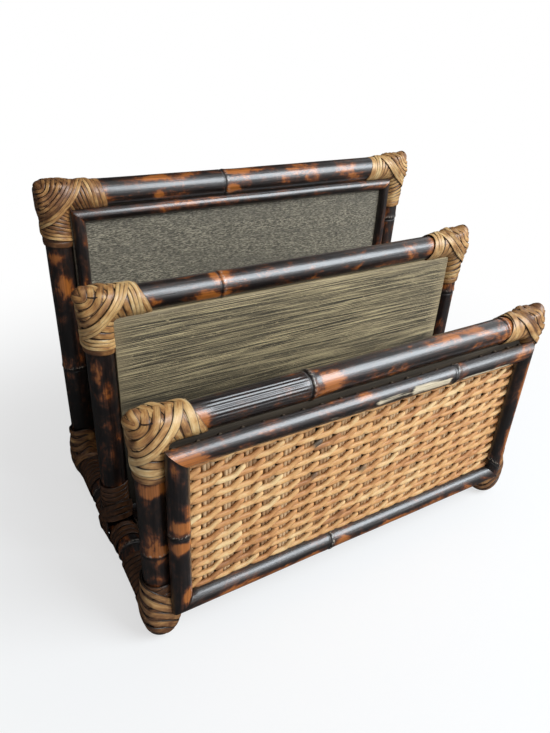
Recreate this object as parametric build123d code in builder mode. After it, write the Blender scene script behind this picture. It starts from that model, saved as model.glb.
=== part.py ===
import os

from build123d import *

# Three bamboo frames stand one behind the other on two side rails.
# Origin: middle of the outline on the ground, +Z up, the front looks along -Y.

# whole holder
frame_width = 240.0        # axis to axis of the two posts of one frame
tier_depth = 70.0          # axis to axis of neighbouring frames
pole_radius = 7.5
side_rail_height = 13.5    # axis of the side rails above the ground
front_rise = 117.0         # top rail axis above the side rail axis
middle_rise = 145.0
rear_rise = 180.0
foot_gap = 2.5             # cane between the end of a corner post and the ground
seat_lip = 0.3             # the tips of a middle post's seat end this far above the rail axis

# bamboo joints, the low rings on a pole
joint_height = 0.6
joint_width = 2.6

# boards
floor_thickness = 3.0
panel_thickness = 3.6
board_play = 0.05          # a board edge stays this far from the pole beside it
middle_panel_front = 5.6   # front of the middle panel ahead of the frame plane
rear_panel_front = 6.0

# split bamboo round the woven panel
front_trim_radius = 5.6
front_trim_back = 9.5      # flat back of the trim ahead of the frame plane
front_trim_inset = 8.8     # axis of the upright trims inside the post axis
front_trim_low = 12.0      # axis of the lower trim above the side rail axis
front_trim_drop = 12.6     # axis of the upper trim below the top rail axis
trim_joint_height = 0.5

# thin split bamboo round the rear panel
rear_trim_radius = 3.3
rear_trim_inset = 0.5      # gap between this trim and the poles round it

# woven panel
stitch_pitch = 11.1        # one stitch to the next along a row
row_count = 13
row_depth = 3.0            # how far the strands stand out from the stakes
row_play = 0.15
stake_width = 4.5          # a pair of thin stakes side by side
stake_thickness = 1.6
backing_thickness = 2.6
selvedge_height = 2.4

# cane bindings
cane = 1.9                 # thickness of one layer of cane
cane_sides = 12            # flats round a binding
layer_step = 0.45          # each crossing layer stands this much prouder
crossing_limit = 14.0      # the last crossing strip passes this far inside the corner
crossing_pitch = 11.0
layer_count = 2
nose_reach = 6.7           # the outer corner is cut on the slant this far out and up
post_nose = 5.6            # same for the end of the post under the cane
turn_groove = 0.45
rail_arm = 29.0            # bound length on a top rail, from the post axis
post_arm = 29.0
turn_count = 2
turn_gap = 0.9
turn_start = 14.0          # the round turns begin here, from the corner
base_post_start = 28.0     # above the ground
base_post_arm = 26.0       # bound length above the side rail axis
base_rail_arm = 25.0
base_side_start = 16.0
base_side_arm = 38.0
tee_side_start = 11.0
tee_side_arm = 21.0
tee_post_start = 34.0      # above the ground
tee_post_arm = 35.0
foot_height = 5.0          # height of the tapered part of a foot
foot_taper = 2.6
foot_bulk = 12.0           # how far the double layer runs from the corner

# derived places
half_width = frame_width / 2
opening_half = half_width - pole_radius
front_overhang = front_trim_back + front_trim_radius + trim_joint_height
rear_overhang = pole_radius + cane + layer_step * layer_count
middle_y = (front_overhang - rear_overhang) / 2
front_y = middle_y - tier_depth
rear_y = middle_y + tier_depth
front_z = side_rail_height + front_rise
middle_z = side_rail_height + middle_rise
rear_z = side_rail_height + rear_rise
floor_top = side_rail_height + floor_thickness / 2
base_rail_z = floor_top + pole_radius
opening_low = base_rail_z + pole_radius
sleeve = pole_radius + cane
reach = 3 * frame_width

os.makedirs("parts", exist_ok=True)


def lying(y, z):
    # plane whose local x runs along a rail from left to right
    return Plane(origin=(0, y, z), x_dir=(1, 0, 0), z_dir=(0, -1, 0))


def running(x, z):
    # plane whose local x runs along a side rail from front to back
    return Plane(origin=(x, 0, z), x_dir=(0, 1, 0), z_dir=(1, 0, 0))


def standing(x, y):
    # plane whose local x runs up a post
    return Plane(origin=(x, y, 0), x_dir=(0, 0, 1), z_dir=(0, 1, 0))


def turn_pole(plane, start, end, joints=(), radius=pole_radius, ridge=joint_height):
    # bamboo pole with a low ring at each joint
    outline = [(start, 0), (start, radius)]
    for joint in joints:
        outline.append((joint - joint_width, radius))
        outline.append((joint, radius + ridge))
        outline.append((joint + joint_width, radius))
    outline.append((end, radius))
    outline.append((end, 0))
    with BuildSketch(plane) as profile:
        with BuildLine():
            Polyline(*outline, close=True)
        make_face()
    revolve(profile.sketch, axis=Axis(plane.origin, plane.x_dir), revolution_arc=360)


def cope(plane, radius=pole_radius):
    # hollow the end of a pole so that it seats on the pole it meets
    with BuildSketch(Plane(origin=plane.origin, z_dir=plane.x_dir)) as round_end:
        Circle(radius)
    extrude(round_end.sketch, amount=reach, both=True, mode=Mode.SUBTRACT)


def block(low, high, mode=Mode.ADD):
    # box between two corners
    size = [high[i] - low[i] for i in range(3)]
    middle = [(high[i] + low[i]) / 2 for i in range(3)]
    with Locations(tuple(middle)):
        Box(*size, mode=mode)


def mitre(corner, turn):
    # take off what lies beyond the mitre line through a corner
    with BuildSketch(Plane(origin=corner, x_dir=(1, 0, 0), z_dir=(0, -1, 0))) as waste:
        with Locations(Rotation(0, 0, turn)):
            Rectangle(reach, reach, align=(Align.MIN, Align.CENTER))
    extrude(waste.sketch, amount=reach, both=True, mode=Mode.SUBTRACT)


def saw_nose(sign, y, z, out):
    # cut the outer top corner of a frame on the slant
    mitre((sign * (half_width + out), y, z + out), 45 if sign > 0 else 135)


def save(piece, name):
    piece.part.label = name
    export_step(piece.part, "parts/" + name + ".step")


# side rails, each one pole from the front post to the rear post
for side, sign in (("left", -1), ("right", 1)):
    with BuildPart() as side_rail:
        turn_pole(running(sign * half_width, side_rail_height), front_y, rear_y)
        for y in (front_y, rear_y):
            cope(standing(sign * half_width, y))
    save(side_rail, "side_rail_" + side)

# posts: the front and rear pairs pass the side rails, the middle pair stands on them
for tier, y, top in (("front", front_y, front_z), ("middle", middle_y, middle_z), ("rear", rear_y, rear_z)):
    for side, sign in (("left", -1), ("right", 1)):
        foot = side_rail_height + seat_lip if tier == "middle" else foot_gap
        with BuildPart() as post:
            turn_pole(standing(sign * half_width, y), foot, top + pole_radius)
            saw_nose(sign, y, top, post_nose)
            if tier == "middle":
                cope(running(sign * half_width, side_rail_height))
        save(post, tier + "_post_" + side)

# top and bottom rails between the posts of each frame
rail_rows = (
    ("front", front_y, front_z, (-39.0,)),
    ("middle", middle_y, middle_z, (-53.0,)),
    ("rear", rear_y, rear_z, (-17.0,)),
)
top_rails = {}
for tier, y, top, joints in rail_rows:
    with BuildPart() as top_rail:
        turn_pole(lying(y, top), -half_width, half_width, joints)
        for sign in (-1, 1):
            cope(standing(sign * half_width, y))
    save(top_rail, tier + "_top_rail")
    with BuildPart() as low_rail:
        turn_pole(lying(y, base_rail_z), -half_width, half_width)
        for sign in (-1, 1):
            cope(standing(sign * half_width, y))
            cope(running(sign * half_width, side_rail_height))
        block((-reach, -reach, 0), (reach, reach, floor_top), Mode.SUBTRACT)
    top_rails[tier] = top_rail
    save(low_rail, tier + "_bottom_rail")


def scribe(tier):
    # let the bamboo joints of a top rail into the edge of the board below it
    add(top_rails[tier].part, mode=Mode.SUBTRACT)


# floor board between the side rails, under the three bottom rails
with BuildPart() as floor_board:
    block(
        (-opening_half, front_y, floor_top - floor_thickness),
        (opening_half, rear_y, floor_top),
    )
save(floor_board, "floor_board")

# middle panel
middle_top = middle_z - pole_radius
middle_face = middle_y - middle_panel_front
with BuildPart() as middle_panel:
    block(
        (-opening_half + board_play, middle_face, opening_low),
        (opening_half - board_play, middle_face + panel_thickness, middle_top),
    )
    scribe("middle")
save(middle_panel, "middle_panel")

# rear panel
rear_top = rear_z - pole_radius
with BuildPart() as rear_panel:
    block(
        (-opening_half + board_play, rear_y - rear_panel_front, opening_low),
        (opening_half - board_play, rear_y - rear_panel_front + panel_thickness, rear_top),
    )
    scribe("rear")
save(rear_panel, "rear_panel")


def split_pole(plane, start, end, radius, joints, ridge, face):
    # half round length of bamboo with its flat side on the given plane
    turn_pole(plane, start, end, joints, radius, ridge)
    block((-reach, face, -reach), (reach, face + reach, reach), Mode.SUBTRACT)



# four mitred lengths of split bamboo round the woven panel
trim_face = front_y - front_trim_back
trim_low = side_rail_height + front_trim_low
trim_high = front_z - front_trim_drop
trim_side = half_width - front_trim_inset
trim_out = trim_side + front_trim_radius
front_trims = {}
for edge, z, joints, turns in (
    ("top", trim_high, (14.0,), (-135, -45)),
    ("bottom", trim_low, (3.0,), (135, 45)),
):
    with BuildPart() as trim:
        split_pole(
            lying(trim_face, z), -trim_out, trim_out,
            front_trim_radius, joints, trim_joint_height, trim_face,
        )
        for sign, turn in zip((-1, 1), turns):
            mitre((sign * trim_side, trim_face, z), turn)
    front_trims[edge] = trim
    save(trim, "front_trim_" + edge)
for edge, sign, joints, turns in (
    ("left", -1, (67.0,), (45, -45)),
    ("right", 1, (54.0,), (135, -135)),
):
    with BuildPart() as trim:
        split_pole(
            standing(sign * trim_side, trim_face),
            trim_low - front_trim_radius, trim_high + front_trim_radius,
            front_trim_radius, joints, trim_joint_height, trim_face,
        )
        for z, turn in zip((trim_high, trim_low), turns):
            mitre((sign * trim_side, trim_face, z), turn)
    front_trims[edge] = trim
    save(trim, "front_trim_" + edge)

# four thin mitred lengths round the rear panel
thin_face = rear_y - rear_panel_front
thin_side = opening_half - rear_trim_inset - rear_trim_radius
thin_low = opening_low + rear_trim_inset + rear_trim_radius
thin_high = rear_top - rear_trim_inset - rear_trim_radius
for edge, z, turns in (("top", thin_high, (-135, -45)), ("bottom", thin_low, (135, 45))):
    with BuildPart() as trim:
        split_pole(
            lying(thin_face, z), -opening_half, opening_half,
            rear_trim_radius, (), trim_joint_height, thin_face,
        )
        for sign, turn in zip((-1, 1), turns):
            mitre((sign * thin_side, thin_face, z), turn)
    save(trim, "rear_trim_" + edge)
for edge, sign, turns in (("left", -1, (45, -45)), ("right", 1, (135, -135))):
    with BuildPart() as trim:
        split_pole(
            standing(sign * thin_side, thin_face),
            thin_low - rear_trim_radius, thin_high + rear_trim_radius,
            rear_trim_radius, (), trim_joint_height, thin_face,
        )
        for z, turn in zip((thin_high, thin_low), turns):
            mitre((sign * thin_side, thin_face, z), turn)
    save(trim, "rear_trim_" + edge)

# woven panel: rows of twined strands in front of paired stakes, on a backing board
weave_half = opening_half - board_play
weave_top = front_z - pole_radius
weave_height = weave_top - opening_low
row_pitch = weave_height / row_count
row_front = front_y - front_trim_back
row_back = row_front + row_depth
stake_back = row_back + stake_thickness
column_count = int(2 * weave_half / stitch_pitch)

with BuildPart() as stakes:
    with BuildSketch(lying(row_back, (weave_top + opening_low) / 2)):
        with GridLocations(stitch_pitch, 1, column_count, 1):
            Rectangle(stake_width, weave_height)
        with GridLocations(1, weave_height - selvedge_height, 1, 2):
            Rectangle(2 * weave_half, selvedge_height)
    extrude(amount=-stake_thickness)
save(stakes, "weave_stakes")

with BuildPart() as backing:
    block(
        (-weave_half, stake_back, opening_low),
        (weave_half, stake_back + backing_thickness, weave_top),
    )
    scribe("front")
save(backing, "front_backing")

for row in range(row_count):
    # one row is a rope of two strands, shown here by its rounded ridge
    row_z = opening_low + row_pitch * (row + 0.5)
    with BuildPart() as weft:
        with BuildSketch(Plane(origin=(-weave_half, row_back, row_z), x_dir=(0, 0, 1), z_dir=(1, 0, 0))):
            with BuildLine():
                Polyline(
                    (-row_pitch / 2 + row_play, 0),
                    (-row_pitch * 0.4, row_depth * 0.7),
                    (-row_pitch * 0.2, row_depth),
                    (row_pitch * 0.2, row_depth),
                    (row_pitch * 0.4, row_depth * 0.7),
                    (row_pitch / 2 - row_play, 0),
                    close=True,
                )
            make_face()
        extrude(amount=2 * weave_half)
    save(weft, "weft_row_" + str(row + 1).zfill(2))


def along(plane, distance):
    # plane across a pole at a distance along it
    origin = plane.origin + plane.x_dir * distance
    return Plane(origin=origin, x_dir=plane.z_dir, z_dir=plane.x_dir)


def bind(plane, start, end, apothem, mode=Mode.ADD):
    # many sided sleeve round a pole
    with BuildSketch(along(plane, start)) as ring:
        RegularPolygon(apothem, cane_sides, major_radius=False, rotation=180 / cane_sides)
    extrude(ring.sketch, amount=end - start, mode=mode)


def bound_arm(plane, joint, start, end):
    # plain sleeve that ends in a few round turns, a shallow groove between two
    step = (end - start) / turn_count
    gap = turn_gap if step > 0 else -turn_gap
    bind(plane, joint, end - gap, sleeve - turn_groove)
    for turn in range(turn_count):
        low = start + step * turn
        bind(plane, low, low + step - gap, sleeve)


def crossing(sign, y, z, apothem, limit):
    # one layer of strips that cross a top corner on the slant
    x = sign * half_width
    edge = apothem + 1.0
    with BuildPart() as layer:
        bind(lying(y, z), x + sign * apothem, x - sign * (limit + apothem), apothem)
        bind(standing(x, y), z + apothem, z - limit - apothem, apothem)
        with BuildSketch(Plane(origin=(x, y, z), x_dir=(-sign, 0, 0), z_dir=(0, sign, 0))):
            with BuildLine():
                Polyline(
                    (-edge, -edge - limit),
                    (edge + limit, edge),
                    (-edge, edge),
                    close=True,
                )
            make_face()
        extrude(amount=reach, both=True, mode=Mode.INTERSECT)
    return layer.part


def clear_boards(tier):
    # the boards and the split bamboo of a frame bite into the cane
    if tier == "front":
        block(
            (-trim_out, trim_face - reach, trim_low - front_trim_radius),
            (trim_out, trim_face, trim_high + front_trim_radius),
            Mode.SUBTRACT,
        )
        block(
            (-weave_half, trim_face, opening_low),
            (weave_half, stake_back + backing_thickness, weave_top),
            Mode.SUBTRACT,
        )
    elif tier == "middle":
        block(
            (-opening_half + board_play, middle_face, opening_low),
            (opening_half - board_play, middle_face + panel_thickness, middle_top),
            Mode.SUBTRACT,
        )
    else:
        block(
            (-opening_half + board_play, thin_face - reach, opening_low),
            (opening_half - board_play, thin_face + panel_thickness, rear_top),
            Mode.SUBTRACT,
        )


# cane bindings at the six top corners
for tier, y, top, joints in rail_rows:
    for side, sign in (("left", -1), ("right", 1)):
        x = sign * half_width
        layers = []
        for step in range(layer_count):
            layers.append(
                crossing(sign, y, top, sleeve + layer_step * (step + 1), crossing_limit - crossing_pitch * step)
            )
        with BuildPart() as bore:
            bind(standing(x, y), top + pole_radius, top - 2 * post_arm, pole_radius)
            saw_nose(sign, y, top, post_nose)
        with BuildPart() as binding:
            bound_arm(lying(y, top), x, x - sign * turn_start, x - sign * rail_arm)
            bound_arm(standing(x, y), top, top - turn_start, top - post_arm)
            for layer in layers:
                add(layer)
            saw_nose(sign, y, top, nose_reach)
            bind(lying(y, top), x, x - sign * 2 * rail_arm, pole_radius, Mode.SUBTRACT)
            add(bore.part, mode=Mode.SUBTRACT)
            clear_boards(tier)
        save(binding, tier + "_" + side + "_top_binding")

# cane bindings at the four feet, round the post and both base rails
for tier, y, inward in (("front", front_y, 1), ("rear", rear_y, -1)):
    for side, sign in (("left", -1), ("right", 1)):
        x = sign * half_width
        bulk = sleeve + 2 * layer_step
        with BuildPart() as binding:
            bound_arm(standing(x, y), 0.0 + foot_height, base_post_start, side_rail_height + base_post_arm)
            bound_arm(running(x, side_rail_height), y, y + inward * base_side_start, y + inward * base_side_arm)
            bind(lying(y, base_rail_z), x, x - sign * base_rail_arm, sleeve)
            bind(standing(x, y), foot_height, base_rail_z + foot_bulk, bulk)
            bind(running(x, side_rail_height), y - inward * sleeve, y + inward * foot_bulk, bulk)
            with BuildSketch(Plane(origin=(x, y, 0), x_dir=(0, 1, 0), z_dir=(0, 0, 1))):
                RegularPolygon(bulk - foot_taper, cane_sides, major_radius=False, rotation=180 / cane_sides)
            with BuildSketch(Plane(origin=(x, y, foot_height), x_dir=(0, 1, 0), z_dir=(0, 0, 1))):
                RegularPolygon(bulk, cane_sides, major_radius=False, rotation=180 / cane_sides)
            loft(ruled=True)
            block((-reach, -reach, -reach), (reach, reach, 0), Mode.SUBTRACT)
            bind(standing(x, y), foot_gap, reach / 4, pole_radius, Mode.SUBTRACT)
            bind(running(x, side_rail_height), y, y + inward * reach / 4, pole_radius, Mode.SUBTRACT)
            bind(lying(y, base_rail_z), x, x - sign * reach / 4, pole_radius, Mode.SUBTRACT)
            block(
                (-opening_half, -reach, floor_top - floor_thickness),
                (opening_half, reach, floor_top),
                Mode.SUBTRACT,
            )
            clear_boards(tier)
        save(binding, tier + "_" + side + "_foot_binding")

# cane bindings where the middle posts stand on the side rails
for side, sign in (("left", -1), ("right", 1)):
    x = sign * half_width
    with BuildPart() as binding:
        bound_arm(standing(x, middle_y), side_rail_height, tee_post_start, side_rail_height + tee_post_arm)
        bind(running(x, side_rail_height), middle_y - tee_side_arm, middle_y + tee_side_arm, sleeve)
        bind(
            running(x, side_rail_height), middle_y - tee_side_start, middle_y + tee_side_start,
            sleeve + layer_step,
        )
        bind(standing(x, middle_y), side_rail_height, tee_post_start, sleeve + layer_step)
        bind(standing(x, middle_y), side_rail_height, reach / 4, pole_radius, Mode.SUBTRACT)
        bind(running(x, side_rail_height), -reach / 4, reach / 4, pole_radius, Mode.SUBTRACT)
        bind(lying(middle_y, base_rail_z), x, x - sign * reach / 4, pole_radius, Mode.SUBTRACT)
        block(
            (-opening_half, -reach, floor_top - floor_thickness),
            (opening_half, reach, floor_top),
            Mode.SUBTRACT,
        )
        clear_boards("middle")
    save(binding, "middle_" + side + "_tee_binding")
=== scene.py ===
import math

import bmesh
import bpy
import numpy as np
from mathutils import Matrix, Vector


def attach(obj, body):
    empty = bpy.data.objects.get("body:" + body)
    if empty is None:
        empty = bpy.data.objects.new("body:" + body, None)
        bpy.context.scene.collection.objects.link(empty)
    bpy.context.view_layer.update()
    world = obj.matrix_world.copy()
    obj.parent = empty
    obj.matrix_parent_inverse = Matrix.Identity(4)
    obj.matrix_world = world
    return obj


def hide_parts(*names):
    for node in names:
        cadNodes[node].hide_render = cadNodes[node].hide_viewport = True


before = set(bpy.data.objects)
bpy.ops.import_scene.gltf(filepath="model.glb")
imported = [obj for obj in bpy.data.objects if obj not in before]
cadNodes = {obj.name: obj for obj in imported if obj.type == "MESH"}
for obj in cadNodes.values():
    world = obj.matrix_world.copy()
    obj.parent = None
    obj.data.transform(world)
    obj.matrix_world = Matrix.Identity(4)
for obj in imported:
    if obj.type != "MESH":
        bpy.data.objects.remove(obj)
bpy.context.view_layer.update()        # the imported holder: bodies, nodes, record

print("frame loaded,", len(cadNodes), "nodes")

mm = 0.001               # everything below is in millimetres until it becomes a mesh
xWay, yWay, zWay = (1, 0, 0), (0, 1, 0), (0, 0, 1)

# main places of the holder, the same as in the CAD
holder = {
    "halfWidth": 120.0,
    "frameY": {"front": -67.35, "middle": 2.65, "rear": 72.65},
    "topZ": {"front": 130.5, "middle": 158.5, "rear": 193.5},
    "sideRailZ": 13.5,
    "baseRailZ": 22.5,
    "poleRadius": 7.5,
}
half, poleRadius = holder["halfWidth"], holder["poleRadius"]
sideZ, baseZ = holder["sideRailZ"], holder["baseRailZ"]


# small helpers for meshes
def makePiece(name, verts, faces, material, stands, grain, tint, sharp=None):
    # one mesh that rides on the holder; grain is (along, around, seed), tint is three masks for its finish
    mesh = bpy.data.meshes.new(name)
    mesh.from_pydata((np.asarray(verts, float) * mm).tolist(), [], [tuple(int(i) for i in f) for f in faces])
    mesh.update()
    layer = mesh.attributes.new("grain", "FLOAT_VECTOR", "POINT")
    layer.data.foreach_set("vector", np.asarray(grain, np.float32).ravel())
    layer = mesh.attributes.new("tint", "FLOAT_COLOR", "POINT")
    layer.data.foreach_set("color", np.asarray(tint, np.float32).ravel())
    mesh.shade_smooth()
    if sharp:
        mesh.set_sharp_from_angle(angle=math.radians(sharp))
    piece = bpy.data.objects.new(name, mesh)
    bpy.context.scene.collection.objects.link(piece)
    mesh.materials.append(material)
    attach(piece, "root")
    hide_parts(*stands)


def gridFaces(rows, columns, offset=0, endless=False):
    # quads between neighbouring rings of points; with endless the last ring meets the first
    faces = []
    for i in range(rows if endless else rows - 1):
        here, there = offset + i * columns, offset + (i + 1) % rows * columns
        for j in range(columns):
            k = (j + 1) % columns
            faces.append((here + j, here + k, there + k, there + j))
    return faces


def perPoint(shape, *values):
    # one row of numbers for every point of a grid
    return np.stack([np.broadcast_to(v, shape) for v in values], -1).reshape(-1, len(values))


def makeTubes(name, tubes, material, stands, sharp=None, endless=False):
    # one piece out of tubes (points, grain, tint); those that aren't endless get a flat face at both ends
    verts, faces, grain, tint, count = [], [], [], [], 0
    for points, grainHere, tintHere in tubes:
        rows, columns = points.shape[:2]
        faces += gridFaces(rows, columns, count, endless)
        if not endless:
            faces.append(tuple(range(count, count + columns))[::-1])
            faces.append(tuple(range(count + (rows - 1) * columns, count + rows * columns)))
        count += rows * columns
        verts.append(points.reshape(-1, 3))
        grain.append(perPoint((rows, columns), *grainHere))
        tint.append(perPoint((rows, columns), *tintHere, 1))
    makePiece(name, np.vstack(verts), faces, material, stands, np.vstack(grain), np.vstack(tint), sharp)


def waves(values, seed, scale):
    # smooth seeded wobble, between about -1 and 1
    rng = np.random.default_rng(seed)
    total = np.zeros_like(values, float)
    for k in range(5):
        total += np.sin(values / scale * (0.6 + 0.9 * k) + rng.uniform(0, 6.28)) / (1 + 0.7 * k)
    return total / 2.2


def bump(values, centre, width):
    return np.exp(-((values - centre) / width) ** 2)


def smoothStep(values, low, high):
    t = np.clip((values - low) / (high - low), 0, 1)
    return t * t * (3 - 2 * t)


def lengthAlong(points):
    return np.concatenate([[0], np.cumsum(np.linalg.norm(np.diff(points, axis=0), axis=1))])


# materials
class Shader:
    # a short way to wire the nodes of a material or of the world
    def __init__(self, owner):
        owner.use_nodes = True
        self.owner, self.tree = owner, owner.node_tree
        self.surface = self.tree.nodes.get("Principled BSDF")

    def node(self, kind, inputs=(), **settings):
        made = self.tree.nodes.new("ShaderNode" + kind)
        for key, value in settings.items():
            setattr(made, key, value)
        for key, value in dict(inputs).items():
            self.plug(made.inputs[key], value)
        return made

    def plug(self, socket, value):
        if isinstance(value, bpy.types.NodeSocket):
            self.tree.links.new(value, socket)
        elif isinstance(value, (tuple, list)) and len(value) == 3 and socket.type == "RGBA":
            socket.default_value = (*value, 1.0)
        else:
            socket.default_value = value

    def carried(self):
        # reads what makePiece stores in the points: the place in the grain, and three masks
        vector = self.node("Attribute", attribute_name="grain").outputs["Vector"]
        colour = self.node("Attribute", attribute_name="tint").outputs["Color"]
        self.grain = self.node("SeparateXYZ", {"Vector": vector}).outputs
        return self.node("SeparateColor", {"Color": colour}).outputs[:3]

    def math(self, operation, a, b=0.0, clamp=False):
        return self.node("Math", {0: a, 1: b}, operation=operation, use_clamp=clamp).outputs[0]

    def total(self, *pairs):
        # sum of (value, weight)
        parts = [value if weight == 1 else self.math("MULTIPLY", value, weight) for value, weight in pairs]
        result = parts[0]
        for part in parts[1:]:
            result = self.math("ADD", result, part)
        return result

    def sway(self, value, noise, weight):
        # value, moved up and down by a noise
        return self.math("ADD", value, self.math("MULTIPLY", self.math("SUBTRACT", noise, 0.5), weight))

    def noise(self, alongScale, aroundScale, detail, roughness, distortion=0.0):
        # noise that is stretched along the grain
        along, around, seed = self.grain
        at = self.node("CombineXYZ", {
            "X": self.math("MULTIPLY", along, alongScale), "Y": self.math("MULTIPLY", around, aroundScale),
            "Z": seed,
        })
        return self.node("TexNoise", {
            "Vector": at.outputs[0], "Scale": 1.0, "Detail": detail, "Roughness": roughness,
            "Distortion": distortion,
        }).outputs["Fac"]

    def ramp(self, value, stops):
        made = self.node("ValToRGB", {"Fac": value})
        bar = made.color_ramp
        while len(bar.elements) < len(stops):
            bar.elements.new(0.5)
        for element, (place, colour) in zip(bar.elements, stops):
            element.position = place
            element.color = (*colour, 1.0)
        return made.outputs["Color"]

    def range(self, value, low, high, toLow=0.0, toHigh=1.0):
        return self.node("MapRange", {
            "Value": value, "From Min": low, "From Max": high, "To Min": toLow, "To Max": toHigh,
        }, interpolation_type="SMOOTHSTEP").outputs[0]

    def mix(self, factor, a, b, blend="MIX"):
        return self.node("Mix", {"Factor": factor, 6: a, 7: b}, data_type="RGBA", blend_type=blend).outputs[2]

    def bumpOf(self, height, strength, distance):
        made = self.node("Bump", {"Height": height, "Strength": strength, "Distance": distance * mm})
        return made.outputs[0]

    def finish(self, colour, roughness, normal=None, **plain):
        self.plug(self.surface.inputs["Base Color"], colour)
        self.plug(self.surface.inputs["Roughness"], roughness)
        if normal is not None:
            self.plug(self.surface.inputs["Normal"], normal)
        for key, value in plain.items():
            self.surface.inputs[key.replace("_", " ")].default_value = value
        return self.owner


def newMaterial(name):
    return Shader(bpy.data.materials.new(name))


burntFinish = {
    "char": (0.010, 0.0065, 0.006),
    "brown": (0.034, 0.014, 0.008),
    "rust": (0.125, 0.034, 0.010),
    "amber": (0.41, 0.125, 0.020),
    "raw": (0.74, 0.62, 0.43),
    "patchReach": 0.60,      # lower shows more rust
    "rough": 0.33,
    "scuffs": 0.5,
}


def burntBamboo(name, look):
    # lacquer over scorched bamboo: black with rust patches that follow the grain
    s = newMaterial(name)
    glow, bare, scar = s.carried()
    patch = s.noise(0.075, 0.11, 4.0, 0.62, 0.6)
    mottle = s.noise(0.22, 0.30, 4.0, 0.65, 0.5)
    streak = s.noise(0.03, 1.0, 4.0, 0.6)
    fine = s.noise(0.09, 3.2, 3.0, 0.6)
    speck = s.noise(0.55, 0.9, 3.0, 0.7)
    heat = s.sway(s.sway(s.sway(patch, streak, 0.20), mottle, 0.42), fine, 0.10)
    heat = s.total((heat, 1), (glow, 0.42))
    reach = look["patchReach"]
    colour = s.ramp(s.range(heat, reach - 0.17, reach + 0.24), (
        (0.0, look["char"]), (0.30, look["brown"]), (0.62, look["rust"]), (1.0, look["amber"]),
    ))
    shade = s.range(streak, 0.25, 0.8, 0.65, 1.30)
    grey = s.node("CombineColor", {"Red": shade, "Green": shade, "Blue": shade}).outputs[0]
    colour = s.mix(1.0, colour, grey, "MULTIPLY")
    rawMask = s.range(s.sway(s.math("MULTIPLY", bare, 1.25), streak, 1.1), 0.45, 0.75)
    rawColour = s.ramp(fine, ((0.25, (0.30, 0.22, 0.13)), (0.6, look["raw"]), (0.85, (0.78, 0.69, 0.52))))
    colour = s.mix(rawMask, colour, rawColour)
    scuff = s.range(s.total((speck, 1), (scar, 0.22)), 0.74, 0.80, 0.0, look["scuffs"])
    colour = s.mix(scuff, colour, (0.40, 0.34, 0.27))
    roughness = s.range(streak, 0.2, 0.85, look["rough"] - 0.07, look["rough"] + 0.17)
    roughness = s.math("ADD", roughness, s.math("MULTIPLY", rawMask, 0.3), clamp=True)
    normal = s.bumpOf(s.total((streak, 0.7), (fine, 0.45), (speck, 0.2)), 0.55, 0.35)
    return s.finish(colour, roughness, normal, Coat_Weight=0.75, Coat_Roughness=0.24, Coat_IOR=1.5, IOR=1.52)


splitLook = {**burntFinish, "patchReach": 0.64, "brown": (0.045, 0.018, 0.011), "scuffs": 0.8}
poleFinish = burntBamboo("burnt_bamboo", burntFinish)
trimFinish = burntBamboo("split_bamboo", splitLook)
print("finishes of the bamboo made")


# bamboo poles
def poleRings(start, end, joints, step=3.0):
    # places of the rings along a pole, close together at the joints
    places = list(np.arange(start, end, step)) + [end]
    for joint in joints:
        places += list(np.arange(joint - 4.5, joint + 4.5, 0.45))
    places = sorted(p for p in set(np.round(places, 3)) if start <= p <= end)
    return np.array(places)


def jointProfile(along, joints, height):
    # a scar groove, then a raised lip, then a slow fall
    total = np.zeros_like(along)
    for joint in joints:
        d = along - joint
        total += height * np.where(d < 0, bump(d, 0, 0.55), bump(d, 0, 1.5))
        total += 0.30 * height * bump(d, 0, 5.0) - 0.34 * bump(d, -1.5, 0.5)
    return total


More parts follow.
